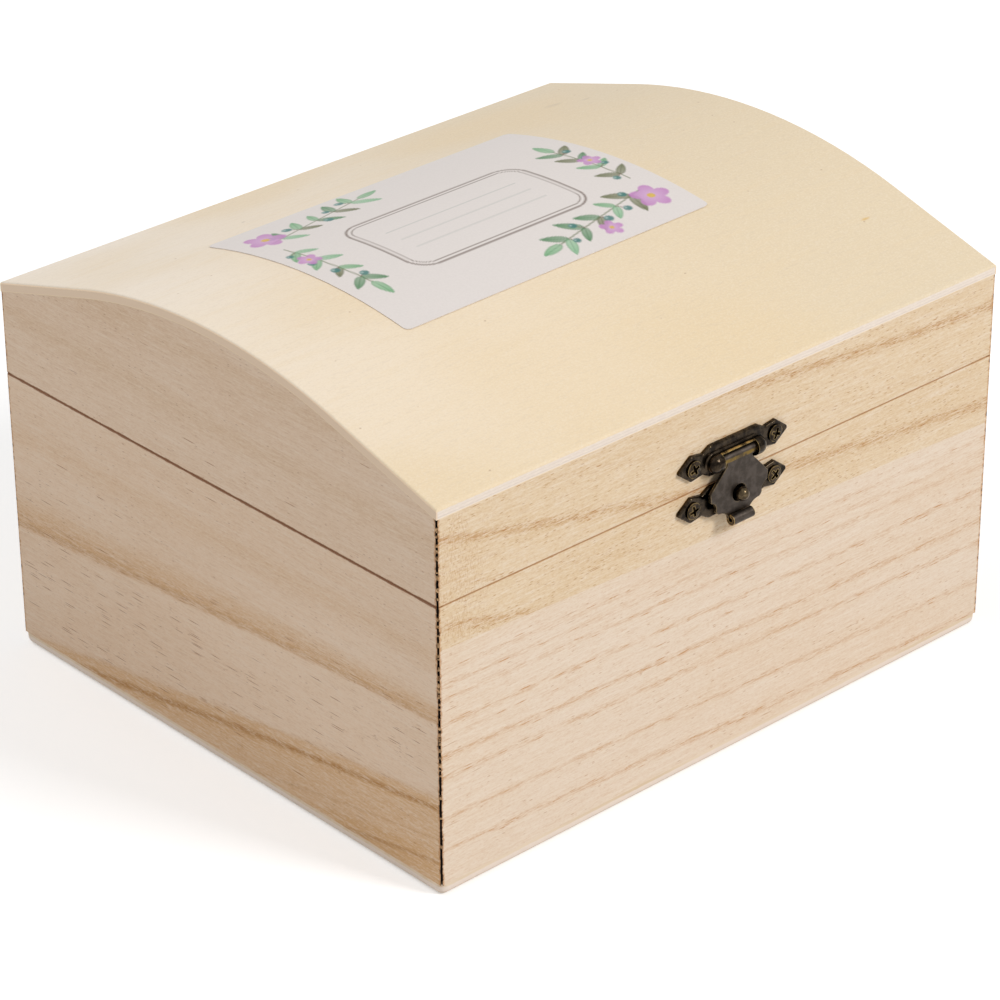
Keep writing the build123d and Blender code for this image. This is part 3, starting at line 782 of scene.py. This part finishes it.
    def frame(self, half_length: float, half_width: float, corner: float, rise: float, indent: float) -> None:
        """Draw an empty frame with rounded corners and three ruled lines in it.

        Args:
            half_length: Half of its length.
            half_width: Half of its width.
            corner: Radius of its corners.
            rise: How far it stands above the middle.
            indent: How far inside its ends the lines stop.
        """
        dx = np.abs(self.places[:, 0]) - (half_length - corner)
        dy = np.abs(self.places[:, 1] - rise) - (half_width - corner)
        outside = np.hypot(np.maximum(dx, 0), np.maximum(dy, 0)) + np.minimum(np.maximum(dx, dy), 0) - corner
        for gap, width in ((0.0, 0.5), (-1.1, 0.28)):
            self.coat(soft(width / 2 - np.abs(outside - gap), 0.2) * 0.85, self.brown)
        reach = half_length - indent
        for level in (4.6, 0.0, -4.6):
            self.stroke((-reach, rise + level), (reach, rise + level), 0.22, self.rule)


@dataclass(frozen=True)
class PrintedLabel:
    """Paper label on the lid, printed with leaves, berries and blossoms round an empty frame."""

    length: float = 81.5
    width: float = 58.5
    thickness: float = 0.12
    lift: float = 0.17
    corner: float = 1.2
    place: Point = (-5.5, 5.5)
    turn: float = 0.9
    cell: float = 0.33
    drop: float = 5.0
    paper: Colour = paint(233, 225, 220)
    seed: int = 11
    garlands: tuple[tuple[Point, Point, int], ...] = (
        ((-34.0, 17.0), (-6.0, 23.5), 5),
        ((-35.5, 12.0), (-34.0, -12.0), 4),
        ((33.0, -17.0), (5.0, -23.5), 5),
        ((35.5, -12.0), (34.5, 9.0), 4),
    )
    blossoms: tuple[tuple[Point, float], ...] = (
        ((-33.5, 20.0), 4.4), ((33.5, -20.0), 4.4), ((-36.0, 4.0), 2.6), ((36.0, 0.0), 2.6), ((18.0, -24.5), 2.6),
    )

    def build(self) -> Piece:
        """Model the sheet, print it and set it on the lid."""
        sheet = self.cut_sheet()
        self.lay_on_lid(sheet)
        put_on(LabelPaper().build(), sheet)
        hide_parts("paper_label")
        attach(sheet, "lid")
        return sheet

    def cut_sheet(self) -> Piece:
        """Cut a flat sheet with rounded corners, fine enough to hold the print."""
        clear_selection()
        columns, rows = round(self.length / self.cell), round(self.width / self.cell)
        bpy.ops.mesh.primitive_grid_add(x_subdivisions=columns, y_subdivisions=rows, size=1)
        sheet = bpy.context.object
        sheet.name = "printed_label"
        sheet.scale = (self.length * MM, self.width * MM, 1)
        bpy.ops.object.transform_apply(location=False, rotation=False, scale=True)
        mesh = sheet.data
        points = np.empty(len(mesh.vertices) * 3, np.float32)
        mesh.vertices.foreach_get("co", points)
        points = points.reshape(-1, 3)
        self.print_on(mesh, points[:, :2] / MM)
        to_edge = self.width / 2 - np.abs(points[:, 1]) / MM
        inset = np.clip(self.corner - to_edge, 0, self.corner)
        narrowing = self.corner - np.sqrt(self.corner**2 - inset**2)
        points[:, 0] *= 1 - narrowing / (self.length / 2)
        mesh.vertices.foreach_set("co", points.ravel())
        return sheet

    def print_on(self, mesh: bpy.types.Mesh, places: np.ndarray) -> None:
        """Print the motifs into the sheet's colour attribute.

        Args:
            mesh: The flat sheet.
            places: Each point's place on the sheet, in millimetres from its middle.
        """
        ink = Watercolour(places, self.paper, random.Random(self.seed))
        ink.frame(half_length=23.5, half_width=12.5, corner=5.0, rise=-2.0, indent=6.0)
        for start, end, pairs in self.garlands:
            ink.garland(start, end, pairs)
        for spot, size in self.blossoms:
            ink.blossom(spot, size)
        attribute = mesh.color_attributes.new(LabelPaper.attribute, "FLOAT_COLOR", "POINT")
        colours = np.ones((len(places), 4), np.float32)
        colours[:, :3] = ink.colours
        attribute.data.foreach_set("color", colours.ravel())

    def lay_on_lid(self, sheet: Piece) -> None:
        """Turn the sheet, bend it over the lid and give it its thickness.

        Args:
            sheet: The flat sheet.
        """
        turned = Matrix.Rotation(radians(self.turn), 4, "Z")
        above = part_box("lid_top_panel")[1].z + self.drop * MM
        moved = Matrix.Translation((self.place[0] * MM, self.place[1] * MM, above))
        sheet.data.transform(moved @ turned)
        wrap = sheet.modifiers.new("bend", "SHRINKWRAP")
        wrap.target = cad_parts["lid_top_panel"]
        wrap.wrap_method = "PROJECT"
        wrap.use_project_x = wrap.use_project_y = False
        wrap.use_project_z = True
        wrap.use_negative_direction = True
        wrap.use_positive_direction = False
        wrap.offset = self.lift * MM
        ease = sheet.modifiers.new("ease", "SMOOTH")
        ease.factor = 0.5
        ease.iterations = 12
        ease.use_x = ease.use_y = False
        body = sheet.modifiers.new("paper", "SOLIDIFY")
        body.thickness = self.thickness * MM
        body.offset = -1
        for modifier in list(sheet.modifiers):
            bpy.ops.object.modifier_apply(modifier=modifier.name)
        bpy.ops.object.shade_smooth_by_angle(angle=radians(40))


@dataclass(frozen=True)
class SplinterWood:
    """Torn wood in the open mitres, pale with singed tips."""

    pale: Colour = paint(222, 184, 138)
    singed: Colour = paint(120, 76, 42)

    def build(self) -> Material:
        """Write the torn wood's pattern and return its material."""
        graph = Graph.of_material("splinter_wood")
        burn = graph.noise(graph.place(), (0.4, 0.4, 0.5), 2.0)
        colour = graph.tint(graph.rise(burn, 0.46, 0.64), self.pale, self.singed)
        return graph.finish(Base_Color=colour, Roughness=0.75, Specular_IOR_Level=0.2)


@dataclass(frozen=True)
class MitreSplinters:
    """Slivers of wood that bridge the open mitres of one body here and there.

    Where low is under calm_height the first one stands clear_foot higher, and under calm_height they stand
    calm_gap wider apart. Each layer of a sliver has its side, its reach and how far it narrows.
    """

    body: str
    low: float
    high: float
    seed: int
    half_length: float = 75.0
    half_width: float = 65.0
    gap: float = 0.4
    grip: float = 0.05
    depth: float = 0.3
    shortest: float = 0.3
    longest: float = 1.1
    head_room: float = 0.4
    clear_foot: float = 6.5
    calm_height: float = 22.0
    calm_gap: float = 3.6
    gaps: tuple[float, ...] = (0.2, 0.8, 1.4, 2.4)
    gap_shares: Point = (0.5, 1.0)
    first_gaps: Point = (0.8, 2.0)
    sink_shares: Point = (0.15, 0.6)
    layers: tuple[tuple[int, float, float], ...] = ((1, 0.18, 0.7), (-1, 0.12, 0.8), (1, 0.12, 0.4), (-1, 0.18, 0.3))

    def build(self) -> Piece:
        """Model one sliver, set copies of it in all four corners and join them."""
        chance = random.Random(self.seed)
        pattern = self.sliver()
        copies = []
        for corner in ((-1, -1), (-1, 1), (1, -1), (1, 1)):
            height = self.low + self.clear_foot * (self.low < self.calm_height) + chance.uniform(*self.first_gaps)
            while height < self.high - self.longest - self.head_room:
                length = chance.uniform(self.shortest, self.longest)
                copies.append(self.copied(pattern, corner, height + length / 2, length, chance))
                clear = chance.choice(self.gaps) * chance.uniform(*self.gap_shares)
                height += length + (clear if height > self.calm_height else self.calm_gap + clear)
        bpy.data.objects.remove(pattern)
        clear_selection()
        for copy in copies:
            copy.select_set(True)
        bpy.context.view_layer.objects.active = copies[0]
        bpy.ops.object.join()
        joined = bpy.context.object
        joined.name = f"mitre_splinters_{self.body}"
        put_on(SplinterWood().build(), joined)
        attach(joined, self.body)
        return joined

    def sliver(self) -> Piece:
        """Model a torn sliver of unit size with drawn-out ends, standing along Z."""
        clear_selection()
        bpy.ops.mesh.primitive_cube_add(size=1)
        sliver = bpy.context.object
        sliver.scale = (1, 1, 0.4)
        bpy.ops.object.transform_apply(location=False, rotation=False, scale=True)
        for side, reach, narrowing in self.layers:
            tip = max(side * vertex.co.z for vertex in sliver.data.vertices)
            for polygon in sliver.data.polygons:
                polygon.select = side * polygon.center.z > tip - 0.001
            bpy.ops.object.mode_set(mode="EDIT")
            bpy.ops.mesh.select_mode(type="FACE")
            bpy.ops.mesh.extrude_region_move(TRANSFORM_OT_translate={"value": (0.06 * side, -0.05, side * reach)})
            bpy.ops.transform.resize(value=(narrowing, narrowing, 1))
            bpy.ops.object.mode_set(mode="OBJECT")
        bpy.ops.object.shade_smooth_by_angle(angle=radians(30))
        return sliver

    def copied(
        self, pattern: Piece, corner: tuple[int, int], height: float, length: float, chance: random.Random
    ) -> Piece:
        """Set one copy of the sliver across a mitre's mouth.

        Args:
            pattern: The sliver that is copied.
            corner: Sides of the corner along X and Y, each -1 or 1.
            height: Height of the copy's middle.
            length: Its length.
            chance: Source of its random numbers.

        Returns:
            The copy.
        """
        across = self.gap + 2 * self.grip
        sunk = across / 2 + self.depth * chance.uniform(*self.sink_shares)
        place = Vector((corner[0] * (self.half_length - sunk), corner[1] * (self.half_width - sunk), height)) * MM
        turn = radians(45 * corner[0] * corner[1] + chance.choice((0, 180)))
        copy = bpy.data.objects.new("sliver", pattern.data.copy())
        bpy.context.scene.collection.objects.link(copy)
        size = Matrix.Diagonal((self.depth * MM, across * MM, length * MM, 1))
        copy.data.transform(Matrix.Translation(place) @ Matrix.Rotation(turn, 4, "Z") @ size)
        return copy


def chest_boards() -> dict[str, Board]:
    """Describe the grain of each board, by the CAD node that it dresses."""
    # Darker, warmer copy of the wood's colours for the end walls and lid ends, set to match the left side in shade:
    # painted shade.
    painted_shade_tones = {
        "face": paint(230, 203, 176), "warm": paint(223, 193, 163), "pale": paint(237, 217, 196),
        "line": paint(184, 140, 104), "pore": paint(144, 82, 38), "pore_share": 0.5,
    }
    # Wider, darker split line for the left wall and left lid end: partly a burn, partly painted shade.
    split_burn_and_painted_shade = {"split_width": 0.24, "split_share": 0.9, "sawn_line_and_shade": paint(136, 86, 50)}
    upper_front = Board(
        "upper_front_board", Grain.ALONG_X, low_slope=-0.357, fan=0.0014, bend=0.0006,
        lines=((58.4, 1.0), (67.0, 0.2), (76.2, 1.0), (85.0, 0.2), (94.1, 1.0)),
        tan=(
            (56.5, 0.0), (58.4, 0.25), (59.6, 0.0), (74.0, 0.0), (76.2, 0.35), (77.4, 0.0),
            (92.0, 0.0), (94.1, 0.3), (95.5, 0.0),
        ),
        short_pores=(
            (56.5, 0.3), (58.4, 0.9), (60.0, 0.3), (74.4, 0.3), (76.2, 0.9), (78.0, 0.3),
            (92.4, 0.3), (94.1, 0.9), (96.0, 0.3),
        ),
        face=paint(229, 204, 169), warm=paint(223, 195, 156), pore=paint(180, 128, 74), line=paint(186, 132, 76),
        vessel_length=2.2, line_reach=1.3, chatter_end=-56.0,
    )
    return {
        "base_front_lower_board": Board(
            "lower_front_board", Grain.ALONG_X, low_slope=-0.0555, fan=0.00043,
            lines=(
                (10.15, 0.95), (17.4, 0.75), (26.2, 0.8), (30.7, 1.0), (34.8, 0.2), (37.5, 0.75),
                (43.0, 0.6), (45.9, 0.5), (48.9, 0.4),
            ),
        ),
        "base_front_upper_board": upper_front,
        "base_left_wall": Board(
            "left_wall", Grain.ALONG_Y, low_slope=-0.225, fan=0.0045, bend=-0.0002,
            lines=((22.0, 0.2), (38.3, 0.7), (39.6, 0.4)),
            veins=((19.4, 1.1, 1.0), (12.5, 0.5, 0.3), (7.5, 0.9, 0.7), (38.5, 0.8, 0.45)),
            tan=(
                (0.0, 1.0), (9.6, 1.0), (10.8, 0.7), (17.0, 0.75), (18.5, 0.9), (20.6, 0.85), (21.8, 0.7),
                (22.1, 0.0), (37.7, 0.0), (38.0, 1.0), (39.4, 0.8), (41.6, 0.4), (43.4, 0.0), (48.0, 0.0),
                (51.5, 0.3), (54.0, 0.0),
            ),
            long_pores=((19.0, 0.04), (22.5, 0.05), (24.0, 0.42), (34.0, 0.36), (38.0, 0.04), (50.0, 0.01)),
            short_pores=((0.0, 0.1),), band=paint(213, 170, 120), **split_burn_and_painted_shade,
            # The left wall takes these painted shade tones a little lighter.
            **(painted_shade_tones | {"face": paint(235, 208, 181), "warm": paint(228, 198, 168)}),
        ),
        "base_right_wall": Board(
            "right_wall", Grain.ALONG_Y, low_slope=0.05, fan=-0.002,
            lines=((14.0, 0.5), (24.0, 0.4), (30.0, 0.5), (45.0, 0.4), (56.0, 0.4)),
            tan=((26.0, 0.0), (30.0, 0.4), (34.0, 0.0)), **painted_shade_tones,
        ),
        "base_back_wall": Board(
            "back_wall", Grain.ALONG_X, low_slope=0.03, fan=0.0008,
            lines=((9.0, 0.5), (16.0, 0.4), (26.0, 0.55), (37.0, 0.4), (48.0, 0.45), (57.0, 0.3)),
        ),
        "lid_left_end": Board(
            "left_lid_end", Grain.ALONG_Y, low_slope=0.01, fan=0.0, lines=((84.0, 0.15),),
            tan=((70.0, 0.0), (75.0, 0.25), (79.0, 0.0), (84.0, 0.0), (88.0, 0.25), (93.0, 0.0)),
            short_pores=((0.0, 0.1),), **split_burn_and_painted_shade, **painted_shade_tones,
        ),
        "lid_right_end": Board(
            "right_lid_end", Grain.ALONG_Y, low_slope=0.04, fan=0.0,
            lines=((66.0, 0.3), (74.0, 0.4), (85.0, 0.35)), **painted_shade_tones,
        ),
        "lid_back_rail": Board(
            "back_rail", Grain.ALONG_X, low_slope=0.02, fan=0.0, lines=((66.0, 0.35), (73.0, 0.45), (78.0, 0.3)),
        ),
        "lid_front_rail": upper_front,
    }


@dataclass(frozen=True)
class Chest:
    """Wooden walls, plywood and metal of the chest, dressed where the CAD nodes stand."""

    boards: dict[str, Board] = field(default_factory=chest_boards)
    plates: AntiqueBronze = AntiqueBronze()
    hasp: AntiqueBronze = AntiqueBronze(
        "hasp_bronze", dark=paint(80, 72, 66), black=paint(64, 57, 51), roughness=0.38, bare_from=66.95, bare_to=67.6,
    )
    peg: AntiqueBronze = AntiqueBronze("peg_bronze", dark=paint(104, 90, 68), black=paint(66, 56, 43))
    screws: AntiqueBronze = AntiqueBronze("screw_bronze", dark=paint(72, 60, 48), black=paint(34, 28, 23), rubbed=0.55)

    def dress_wood(self) -> None:
        """Give each board and sheet its wood."""
        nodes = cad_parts
        made: dict[str, Material] = {}
        for node, board in self.boards.items():
            if board.name not in made:
                made[board.name] = board.build()
            put_on(made[board.name], nodes[node])
            log.info("wood of %s", node)
        put_on(LidPlywood().build(), nodes["lid_top_panel"])
        put_on(BottomPlywood().build(), nodes["base_bottom_panel"])
        log.info("plywood")

    def dress_metal(self) -> None:
        """Give the latch and the hinges their metal."""
        finishes = {
            ("_plate", "_leaf"): self.plates, "_hasp": self.hasp, "_peg": self.peg, "_screws": self.screws,
            "_pin": PinSteel(),
        }
        for ending, finish in finishes.items():
            pieces = [piece for name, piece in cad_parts.items() if name.endswith(ending)]
            put_on(finish.build(), *pieces)
        log.info("metal")


@dataclass(frozen=True)
class Lamp:
    """Square lamp that faces the chest, with its place, its side and its aim in metres and its power in watts."""

    name: str
    place: tuple[float, float, float]
    side: float
    power: float
    aim_height: float = 0.04

    def hang(self) -> None:
        """Hang the lamp in the scene."""
        lamp = bpy.data.lights.new(self.name, "AREA")
        lamp.shape = "SQUARE"
        lamp.size = self.side
        lamp.energy = self.power
        hung = bpy.data.objects.new(self.name, lamp)
        bpy.context.scene.collection.objects.link(hung)
        hung.location = self.place
        aim = Vector((0, 0, self.aim_height)) - Vector(self.place)
        hung.rotation_euler = aim.to_track_quat("-Z", "Y").to_euler()


@dataclass(frozen=True)
class Studio:
    """White floor, white surroundings, two soft lamps and the camera of the photograph."""

    place: tuple[float, float, float] = (-486.69, -532.91, 422.29)
    azimuth: float = -42.387
    elevation: float = 28.452
    roll: float = 0.376
    focal_share: float = 4.0
    sensor: float = 36.0
    nearest: float = 0.01
    world_strength: float = 0.54
    floor_reach: float = 3.0
    floor_grey: float = 0.86
    floor_glow: float = 0.36
    lamps: tuple[Lamp, ...] = (
        Lamp("key_lamp", (0.7, -1.7, 1.5), 0.6, 27.0),
        Lamp("back_lamp", (-0.5, 0.85, 1.3), 0.8, 6.0),
    )

    def build(self) -> None:
        """Make the floor, the light and the camera."""
        bpy.context.scene.view_settings.view_transform = "Standard"
        self.lay_floor()
        self.light_world()
        for lamp in self.lamps:
            lamp.hang()
        self.stand_camera()

    def seen(self, graph: Graph) -> Socket:
        """Give 1 where a ray comes from the camera, a gloss or a clear piece."""
        path = graph.add("LightPath", {})
        gloss = graph.math("MAXIMUM", path.outputs["Is Glossy Ray"], path.outputs["Is Transmission Ray"])
        return graph.math("MAXIMUM", path.outputs["Is Camera Ray"], gloss)

    def lay_floor(self) -> None:
        """Lay a pale floor that keeps the chest's shadow."""
        clear_selection()
        bpy.ops.mesh.primitive_plane_add(size=2 * self.floor_reach)
        floor = bpy.context.object
        floor.name = "floor"
        graph = Graph.of_material("white_floor")
        glow = graph.times(self.seen(graph), self.floor_glow)
        matt = graph.add("BsdfDiffuse", {"Color": (self.floor_grey, self.floor_grey, self.floor_grey, 1)})
        light = graph.add("Emission", {"Color": (1, 1, 1, 1), "Strength": glow})
        both = graph.add("AddShader", {0: matt.outputs[0], 1: light.outputs[0]})
        graph.add("OutputMaterial", {0: both.outputs[0]})
        put_on(graph.owner, floor)

    def light_world(self) -> None:
        """Surround the chest with plain white light, and show it as pure white."""
        world = bpy.data.worlds.new("white_surroundings")
        bpy.context.scene.world = world
        graph = Graph(world)
        feeds = {"Value": self.seen(graph), "To Min": self.world_strength, "To Max": 1.0}
        strength = graph.add("MapRange", feeds).outputs[0]
        surroundings = graph.add("Background", {"Strength": strength})
        graph.add("OutputWorld", {"Surface": surroundings.outputs[0]})

    def stand_camera(self) -> None:
        """Stand the camera where the photograph was taken from."""
        lens = bpy.data.cameras.new("photo_camera")
        lens.sensor_width = self.sensor
        lens.lens = self.focal_share * self.sensor
        lens.clip_start = self.nearest
        turn, tilt, roll = radians(self.azimuth), radians(self.elevation), radians(self.roll)
        forward = -Vector((sin(turn) * cos(tilt), -cos(turn) * cos(tilt), sin(tilt)))
        right = forward.cross(Vector((0, 0, 1))).normalized()
        down = forward.cross(right)
        rolled_right = right * cos(roll) + down * sin(roll)
        rolled_down = down * cos(roll) - right * sin(roll)
        axes = Matrix((rolled_right, -rolled_down, -forward)).transposed().to_4x4()
        camera = bpy.data.objects.new("photo_camera", lens)
        bpy.context.scene.collection.objects.link(camera)
        camera.matrix_world = Matrix.Translation(Vector(self.place) * MM) @ axes
        bpy.context.scene.camera = camera


def main() -> None:
    """Build the scene in order and report each part of it."""
    logging.basicConfig(level=logging.INFO, format="%(name)s: %(message)s")
    Studio().build()
    log.info("studio")
    chest = Chest()
    chest.dress_wood()
    chest.dress_metal()
    PrintedLabel().build()
    log.info("printed label")
    MitreSplinters("base", low=2.5, high=62.5, seed=5).build()
    MitreSplinters("lid", low=62.5, high=80.0, seed=9).build()
    log.info("mitre splinters")


if __name__ == "__main__":
    main()
